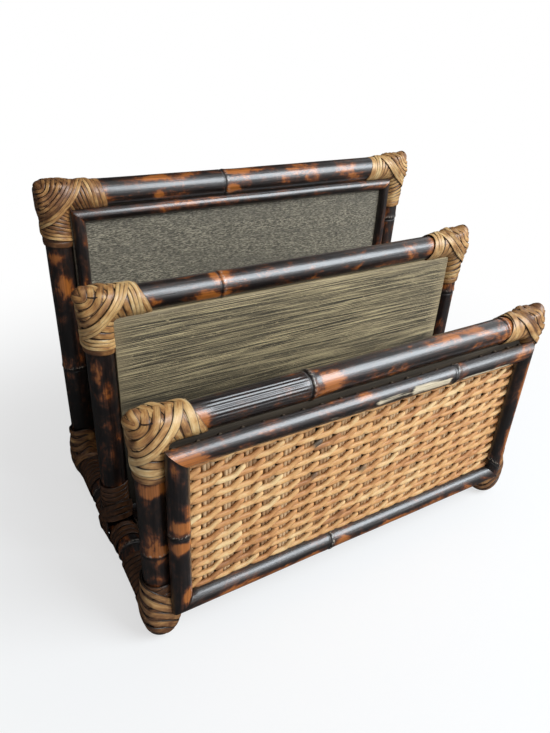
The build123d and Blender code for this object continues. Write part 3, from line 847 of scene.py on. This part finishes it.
# the left corners end in a small pinched nose, the right ones in a point
nosed = {"tip": 7.0, "noseEnd": (11.7, 2.6), "steep": 0.60, "edge": 2.9, "blend": 1.3}
pointed = {"tip": 7.9, "noseEnd": (13.4, 2.8), "steep": 0.42, "edge": 3.6, "blend": 1.1}
# ridge: where each strip crosses the outer edge, from the corner; under: where it goes under the rail;
# last: the crossing strips on top of all; rails and posts: (place, slope) of the plain turns
frontCorners = {
    "last": (24.6,), "lastUnder": (20.4,), "rails": ((16.0, 0.38), (18.6, 0.42), (21.2, 0.44)),
    "posts": ((17.6, 0.06), (20.5, 0.08), (23.3, 0.1)),
}
middleCorners = {"ridge": (4.0, 8.4, 13.4, 18.4), "under": (7.6, 10.6, 13.8, 17.0), "width": 3.55}
cornerLooks = {
    ("front", "left"): {
        **nosed, **frontCorners, "ridge": (3.2, 8.7, 14.2, 19.6), "under": (7.4, 10.6, 14.2, 17.8),
        "width": 3.9, "lastWidth": 4.5, "tones": (0.44, 0.52, 0.42, 0.62), "nose": (6.2, 0.20),
    },
    ("front", "right"): {
        **pointed, **frontCorners, "ridge": (3.4, 8.4, 13.6, 19.0), "under": (7.2, 10.4, 14.0, 17.6),
        "last": (24.2,), "width": 3.8, "lastWidth": 4.2, "tones": (0.30, 0.38, 0.33, 0.46),
        "nose": (6.0, 0.2),
    },
    ("middle", "left"): {
        **nosed, **middleCorners, "last": (22.4, 24.7, 27.0), "lastUnder": (19.0, 20.8, 22.4),
        "rails": ((18.2, 0.32), (20.7, 0.36), (23.1, 0.38)), "lastWidth": 2.1,
        "posts": ((17.4, 0.06), (20.2, 0.08), (22.9, 0.1)), "tones": (0.34, 0.48, 0.38, 0.60),
        "nose": (6.0, 0.2),
    },
    ("middle", "right"): {
        **pointed, **middleCorners, "last": (22.8, 25.2), "lastUnder": (20.0, 22.0),
        "rails": ((17.4, 0.28), (20.0, 0.31), (22.4, 0.33)), "lastWidth": 2.3,
        "posts": ((17.8, 0.06), (20.8, 0.08), (23.8, 0.1)), "tones": (0.44, 0.52, 0.44, 0.56),
        "nose": (6.0, 0.3),
    },
    ("rear", "left"): {
        **nosed, "tip": 7.6, "noseEnd": (7.0, 2.5), "steep": 0.34, "edge": 5.0,
        "ridge": (6.0, 8.8, 11.6, 14.4, 17.2, 20.0, 22.4), "under": (9.4, 11.4, 13.4, 15.4, 17.4, 19.2, 21.0),
        "last": (24.6, 26.8), "lastUnder": (22.2, 23.8), "width": 2.05, "lastWidth": 2.0,
        "rails": ((20.8, 0.20), (23.3, 0.20), (25.6, 0.20)), "tones": (0.22, 0.27, 0.20, 0.46),
        "posts": ((19.6, 0.06), (22.2, 0.08), (24.8, 0.08)), "nose": (4.6, 0.16),
    },
    ("rear", "right"): {
        **pointed, "noseEnd": (12.4, 3.0), "ridge": (7.4, 10.6, 13.8, 17.0, 20.2),
        "under": (10.4, 12.8, 15.2, 17.6, 19.8), "last": (23.2, 25.6), "lastUnder": (21.4, 23.2),
        "width": 2.3, "lastWidth": 2.1, "rails": ((19.4, 0.25), (21.8, 0.27), (24.2, 0.29)),
        "posts": ((19.8, 0.06), (22.4, 0.08), (25.0, 0.08)),
        "tones": (0.42, 0.48, 0.42, 0.60), "nose": (5.0, 0.28),
    },
}


def placer(tier, side, z0=0.0, back=1):
    # the sign of a side, and a way to name points from the middle of its post: inwards, along y and up
    sign, y0 = -1 if side == "left" else 1, holder["frameY"][tier]
    return sign, lambda inward, y, z, *more: (sign * (half - inward), y0 + back * y, z0 + z, *more)


def cornerBinding(tier, side, look, seed):
    # plaited wrap of a top corner: long strips cross the face on the slant and fan round both poles
    sign, at = placer(tier, side, holder["topZ"][tier])
    origin = np.array(at(0, 0, 0))
    outward = np.array([sign, 0.0, 1.0]) / math.sqrt(2)
    tip, steep, diagonal = look["tip"], look["steep"], 1.414
    inwards, downwards = (-sign, 0, 0), (0, 0, -1)
    parts = [
        (origin, zWay, -70.0, tip, poleRadius, 1.2),
        (origin, inwards, -tip, 70.0, poleRadius, 1.2),
        (origin, outward, 0.0, *look["noseEnd"], 1.6),
    ]
    for way in (-1, 1):
        # the faces close in on each other towards the outer corner, as the strips are drawn tight over it
        sideways = way * np.array(yWay, float)
        slope = (steep * outward + sideways) / math.hypot(steep, 1.0)
        parts.append((origin + (tip + 0.4) * diagonal * outward + look["edge"] * sideways, slope))
    rng = np.random.default_rng(seed)
    loops = []
    # plain turns below everything, so that no gap shows the pole; their near-black tone paints the shade in
    # the gaps between the strips above
    lean = 0.12 * reach
    for place in np.arange(5.5, 21.0, 3.3):
        loops.append(turnAround(at(place, 0, 0), inwards, (0, 0, -lean), 3.5, lift["base"], 0.05))
        loops.append(turnAround(at(0, 0, -place), downwards, (-sign * lean, 0, 0), 3.5, lift["base"], 0.05))
    # the strip over the outer corner with its neighbours, under all others
    noseWidth, noseTone = look["nose"]
    for shift in (-8.4, 8.4, -5.6, 5.6, -2.8, 2.8, 0.0):
        along, drop = max(shift, 0) * 1.3, max(-shift, 0) * 1.3       # inwards along the rail, down the post
        wide, tone = (4.8, look["tones"][0] - 0.1) if shift else (noseWidth, noseTone)
        loops.append(([
            at(-tip - 1 + along, 0, tip + 1 - drop, 0.45 if shift else 0.6, 0.8),
            at(-3 + along * 0.8, -reach, 3 - drop * 0.8, 0.4, 0),
            at(9 + shift * 0.2, -5, -9 + shift * 0.2, 0.25, 0),
            at(9 + shift * 0.2, 5, -9 + shift * 0.2, 0.25, 0),
            at(-3 + along * 0.8, reach, 3 - drop * 0.8, 0.4, 0),
        ], wide, tone, 0.25))
    ridges, unders = look["ridge"] + look["last"], look["under"] + look["lastUnder"]
    for n, (t, b) in enumerate(zip(ridges, unders)):
        isLast = n >= len(look["ridge"])
        over = lift["top"] if isLast else lift["over"]
        under = lift["under"] + 0.05 * n
        midway = (over + under) / 2
        wide = (look["lastWidth"] if isLast else look["width"]) * rng.uniform(0.95, 1.05)
        tone = look["tones"][3] if isLast else look["tones"][n % 3] + rng.uniform(-0.07, 0.07)
        d = 1.1                  # the strip leaves and comes back this far apart on the ridge
        u = reach - t            # how high on the post

        def overFace(y):
            # from the outer side of the post to the top of the rail
            return [
                at(0.25 * t - reach, y * 0.8, u + 0.25 * t, over, 0),
                at(-reach + t / 2, y, reach - t / 2, over, 0),
                at(-reach + t * 0.78, y * 0.8, reach - t * 0.22, over, 0),
            ]

        controls = [
            at(-reach, 0, u + d, midway, 0.9),
            *overFace(-reach),
            at(-reach + t - d, 0, reach, midway, 0.9),
            at((b + t - reach) / 2, reach, 0, under, 0),
            at(b, 0, -reach, under, 0.8),                         # under the rail
            at((b + t - reach) / 2, -reach, 0, under, 0),
            at(-reach + t + d, 0, reach, midway, 0.9),
            *overFace(reach)[::-1],
            at(-reach, 0, u - d, midway, 0.9),
            at(0, -reach, (u - b) / 2, under, 0),
            at(reach, 0, -b, under, 0.8),                         # inner side of the post
            at(0, reach, (u - b) / 2, under, 0),
        ]
        loops.append((controls, wide, tone, 1.0))
    height = lift["under"] + 0.04
    for place, slope in look["rails"]:
        tone = look["tones"][1] + rng.uniform(-0.04, 0.14)
        loops.append(turnAround(at(place, 0, 0), inwards, (0, 0, -slope * reach), 3.3, height, tone))
    for place, slope in look["posts"]:
        tone, tilt = look["tones"][2] + rng.uniform(-0.18, 0.05), (-sign * slope * reach, 0, 0)
        loops.append(turnAround(at(0, 0, -place), downwards, tilt, 3.5, height, tone))
    bindJoint(tier + "_corner_cane_" + side, loops, parts, (tier + "_" + side + "_top_binding",), seed,
              look["blend"], count=220, tilt=0.25)


seed = 900
for (tier, side), look in cornerLooks.items():
    cornerBinding(tier, side, look, seed)
    seed += 7
print("corner bindings made")


feet = {
    "low": 2.1, "radius": 7.4, "round": 5.6, "railRound": 3.2,
    # slanted strips across the outer side, over the side rail: (height on the post, place on the side rail)
    "outer": ((20.0, 3.0), (26.0, 8.0), (32.0, 13.0), (37.5, 18.0)),
    # and across the front: (height on the post, place on the base rail, height there)
    "front": ((13.5, 3.5, 3.0), (19.5, 6.5, 6.5), (25.5, 9.5, 10.5), (31.5, 12.5, 13.3), (38.0, 16.0, 13.3)),
}


def footBinding(tier, side, seed):
    # wrap round the foot of a post, the base rail and the side rail
    back = 1 if tier == "front" else -1
    sign, at = placer(tier, side, back=back)
    parts = [
        (at(0, 0, 0), zWay, feet["low"], 90.0, feet["radius"], feet["round"]),
        (at(0, 0, sideZ), (0, back, 0), -poleRadius, 80.0, poleRadius, feet["railRound"]),
        (at(0, 0, baseZ), (-sign, 0, 0), -poleRadius, 80.0, poleRadius, feet["railRound"]),
    ]
    rng = np.random.default_rng(seed)
    loops = []
    # round the end of the foot
    for shift in (-4.6, 0.0, 4.6):
        loops.append(([
            at(shift, -reach, 12, 0.45, 0), at(shift, 0, 1.6, 0.45, 0.5), at(shift, reach, 12, 0.45, 0),
            at(shift, 0, 34, 0.2, 0),
        ], 4.6, 0.14, 0.8))
    for shift in (-3.4, 3.4):
        loops.append(([
            at(-reach, shift, 12, 0.95, 0), at(0, shift, 1.2, 0.9, 0.5), at(reach, shift, 12, 0.95, 0),
            at(0, shift, 36, 0.2, 0),
        ], 4.4, 0.14, 0.8))
    for q, d in feet["outer"]:
        loops.append(([
            at(0, -reach, q, 1.0, 0.7), at(-reach, -2 + d * 0.3, (q + sideZ) / 2 + 1, 1.0, 0),
            at(-reach * 0.8, d * 0.7, sideZ - 2, 1.0, 0), at(0, d, sideZ - reach, 1.0, 0.7),
            at(reach, d * 0.9, sideZ, 0.9, 0), at(reach, 5 + d * 0.2, q * 0.6 + 8, 0.9, 0),
            at(reach, -3, q - 1, 0.9, 0),
        ], 4.2, -0.02 + rng.uniform(-0.05, 0.08), 1.0))
    for n, (q, p, u) in enumerate(feet["front"]):
        over, wide = (1.5, 4.0) if n == 4 else (1.15, 4.6)
        loops.append(([
            at(-reach, 0, q, over, 0.8), at(-4, -reach, q - 3.5, over, 0),
            at(p * 0.4, -reach, (q + u) / 2 - 1, over, 0), at(p, -4, u, over, 0.6),
            at(p + 2, 4, u, 1.2, 0), at(p - 2, reach, u + 14, 1.0, 0), at(1, reach + 3, q * 0.7 + 14, 1.0, 0),
            at(-6, reach * 0.8, q + 1, over, 0),
        ], wide, 0.20 + 0.035 * n + rng.uniform(-0.05, 0.05), 1.0))
    # turns round the post, the base rail and the side rail
    loops += turnRow([at(0, 0, 27.5 + 3.5 * k) for k in range(4)], zWay, (sign * 0.25, 0, 0), 3.4,
                     (0.10, -0.08, 0.12), rng, rise=0.05)
    loops += turnRow([at(15.5 + 3.4 * k, 0, baseZ) for k in range(3)], (-sign, 0, 0), (0, 0, -1.6), 3.3,
                     (0.22, -0.06, 0.12), rng)
    loops += turnRow([at(0, 15.5 + 3.45 * k, sideZ) for k in range(7)], (0, back, 0), (0, 0, -2.4), 3.35,
                     (-0.20, -0.04, 0.10), rng)
    bindJoint(tier + "_foot_cane_" + side, loops, parts, (tier + "_" + side + "_foot_binding",), seed)


def sideBinding(side, seed):
    # wrap where the middle post stands on the side rail
    at = placer("middle", side)[1]
    parts = [
        (at(0, 0, 0), zWay, sideZ, 110.0, poleRadius, 1.0),
        (at(0, 0, sideZ), yWay, -80.0, 80.0, poleRadius, 1.0),
    ]
    rng = np.random.default_rng(seed)
    loops = []
    # strips from the post down under the side rail: (height on the post, place on the side rail)
    for q, d in ((26.0, 4.0), (31.0, 8.5), (36.0, 13.0)):
        for way, over in ((-1, 1.3), (1, 1.75)):
            loops.append(([
                at(0, -way * reach, q, over, 0.7), at(-reach, 0, (q + sideZ) / 2, over, 0),
                at(0, way * d, sideZ - reach, over, 0.7), at(reach, 0, (q + sideZ) / 2, over, 0),
            ], 4.2, -0.16 + rng.uniform(-0.05, 0.08), 1.0))
    loops += turnRow([at(0, 0, 28.5 + 3.5 * k) for k in range(6)], zWay, (0.8, 0, 0), 3.4,
                     (-0.18, -0.05, 0.08), rng)
    for way in (-1, 1):
        centres = [at(0, way * (12.0 + 3.5 * k), sideZ) for k in range(3)]
        loops += turnRow(centres, (0, way, 0), (0, 0, -0.8), 3.4, (-0.20, -0.03, 0.08), rng)
    bindJoint("middle_side_cane_" + side, loops, parts, ("middle_" + side + "_tee_binding",), seed)


for tier in ("front", "rear"):
    for side in ("left", "right"):
        footBinding(tier, side, seed)
        seed += 7
for side in ("left", "right"):
    sideBinding(side, seed)
    seed += 7
print("foot and side bindings made")

# camera, floor and light
camera = {
    "place": (-183.90, -269.21, 286.38),
    "right": (0.86459, -0.50022, 0.04765),
    "down": (-0.21253, -0.44996, -0.86739),
    "ahead": (0.45533, 0.73981, -0.49534),
    "pictureHeight": 733,    # in pixels, as are the focal length and the shifts
    "focal": 599.28,
    "shift": (2.676, -10.30),
    "sensor": 36,
}
lens = bpy.data.cameras.new("camera")
lens.sensor_width = camera["sensor"]
lens.lens = camera["focal"] / camera["pictureHeight"] * camera["sensor"]
lens.shift_x, lens.shift_y = (v / camera["pictureHeight"] for v in camera["shift"])
lens.clip_start, lens.clip_end = 0.01, 20
eye = bpy.data.objects.new("camera", lens)
right, down, ahead = (Vector(camera[k]).normalized() for k in ("right", "down", "ahead"))
turn = Matrix((right, -down, -ahead)).transposed()
eye.matrix_world = Matrix.Translation(Vector(camera["place"]) * mm) @ turn.to_4x4()
bpy.context.scene.collection.objects.link(eye)
bpy.context.scene.camera = eye

studio = {
    "floorHalf": 6.0,
    "floorColour": (0.86, 0.86, 0.86),
    "whiteNear": 0.66,       # how white the paper is near the feet, and where it turns fully white
    "whiteFrom": (0.16, 0.46),
    "worldLight": 0.20,
    "lights": {
        "key": {
            "place": (0.61, -0.77, 0.92), "size": (0.85, 0.8), "power": 22.5, "colour": (0.87, 0.94, 1.0),
        },
        "fill": {
            "place": (0.10, -0.10, 1.35), "size": (0.9, 0.7), "power": 1.5, "colour": (1.0, 0.97, 0.93),
        },
    },
    "aim": (0.0, 0.0, 0.09),
    # dark cards that keep light off the left side, as in a room with one window: (place, turn, size)
    "cards": (
        ((-0.62, 0.15, 0.45), (0.0, 90.0, 0.0), (0.9, 1.7)),
        ((-0.75, -0.85, 0.40), (0.0, 90.0, 48.0), (0.8, 0.9)),
    ),
    # and cards that only reflections see: on the table, behind and above
    "mirrorCards": (
        ((0.0, 0.0, 0.0004), (0.0, 0.0, 0.0), (3.4, 3.4)),
        ((0.0, 1.3, 0.9), (78.0, 0.0, 0.0), (3.2, 2.2)),
        ((0.0, 0.5, 2.0), (0.0, 0.0, 0.0), (3.4, 2.6)),
    ),
}

for name, look in studio["lights"].items():
    lamp = bpy.data.lights.new(name, "AREA")
    lamp.shape = "RECTANGLE"
    lamp.size, lamp.size_y = look["size"]
    lamp.energy = look["power"]
    lamp.color = look["colour"]
    lampPlace = bpy.data.objects.new(name, lamp)
    lampPlace.location = look["place"]
    beam = Vector(studio["aim"]) - Vector(look["place"])
    lampPlace.rotation_euler = beam.to_track_quat("-Z", "Y").to_euler()
    bpy.context.scene.collection.objects.link(lampPlace)


def seenDirectly(s):
    # camera, mirror and see through rays all meet the plain white background
    rays = s.node("LightPath").outputs
    seen = s.math("ADD", rays["Is Camera Ray"], rays["Is Glossy Ray"], clamp=True)
    return s.math("ADD", seen, rays["Is Transmission Ray"], clamp=True)


def stagePlane(name, halfX, halfY, material):
    mesh = bpy.data.meshes.new(name)
    corners = [(halfX * x, halfY * y, 0) for x, y in ((-1, -1), (1, -1), (1, 1), (-1, 1))]
    mesh.from_pydata(corners, [], [(0, 1, 2, 3)])
    mesh.materials.append(material)
    plane = bpy.data.objects.new(name, mesh)
    bpy.context.scene.collection.objects.link(plane)
    return plane


world = Shader(bpy.data.worlds.new("studio"))
bpy.context.scene.world = world.owner
world.tree.nodes.clear()
plainSky = world.node("Background", {"Color": (0.96, 0.98, 1.0), "Strength": studio["worldLight"]})
paleSky = world.node("Background", {"Color": (1, 1, 1), "Strength": 1.0})
sky = world.node("MixShader", {0: seenDirectly(world), 1: plainSky.outputs[0], 2: paleSky.outputs[0]})
world.node("OutputWorld", {"Surface": sky.outputs[0]})

# white paper under the holder; it shows the shadow near the feet and turns plain white further out
s = newMaterial("floor_paper")
s.finish(studio["floorColour"], 0.9)
place = s.node("SeparateXYZ", {"Vector": s.node("NewGeometry").outputs["Position"]}).outputs
away = s.math("SQRT", s.math("ADD", s.math("POWER", place[0], 2.0), s.math("POWER", place[1], 2.0)))
glowShare = s.math("MULTIPLY", s.range(away, *studio["whiteFrom"], studio["whiteNear"]), seenDirectly(s))
whiteGlow = s.node("Emission", {"Color": (1, 1, 1), "Strength": 1.0})
paper = s.node("MixShader", {0: glowShare, 1: s.surface.outputs[0], 2: whiteGlow.outputs[0]})
s.plug(s.tree.nodes["Material Output"].inputs["Surface"], paper.outputs[0])
stagePlane("floor", studio["floorHalf"], studio["floorHalf"], s.owner)

darkCard = newMaterial("dark_card").finish((0.05, 0.047, 0.045), 0.9)
for n, (place, turnBy, size) in enumerate(studio["cards"] + studio["mirrorCards"]):
    card = stagePlane("card_" + str(n + 1), size[0] / 2, size[1] / 2, darkCard)
    card.location = place
    card.rotation_euler = [math.radians(a) for a in turnBy]
    card.visible_camera = False
    if n >= len(studio["cards"]):
        card.visible_diffuse = card.visible_shadow = card.visible_transmission = False

bpy.context.scene.view_settings.view_transform = "Standard"
print("scene made")
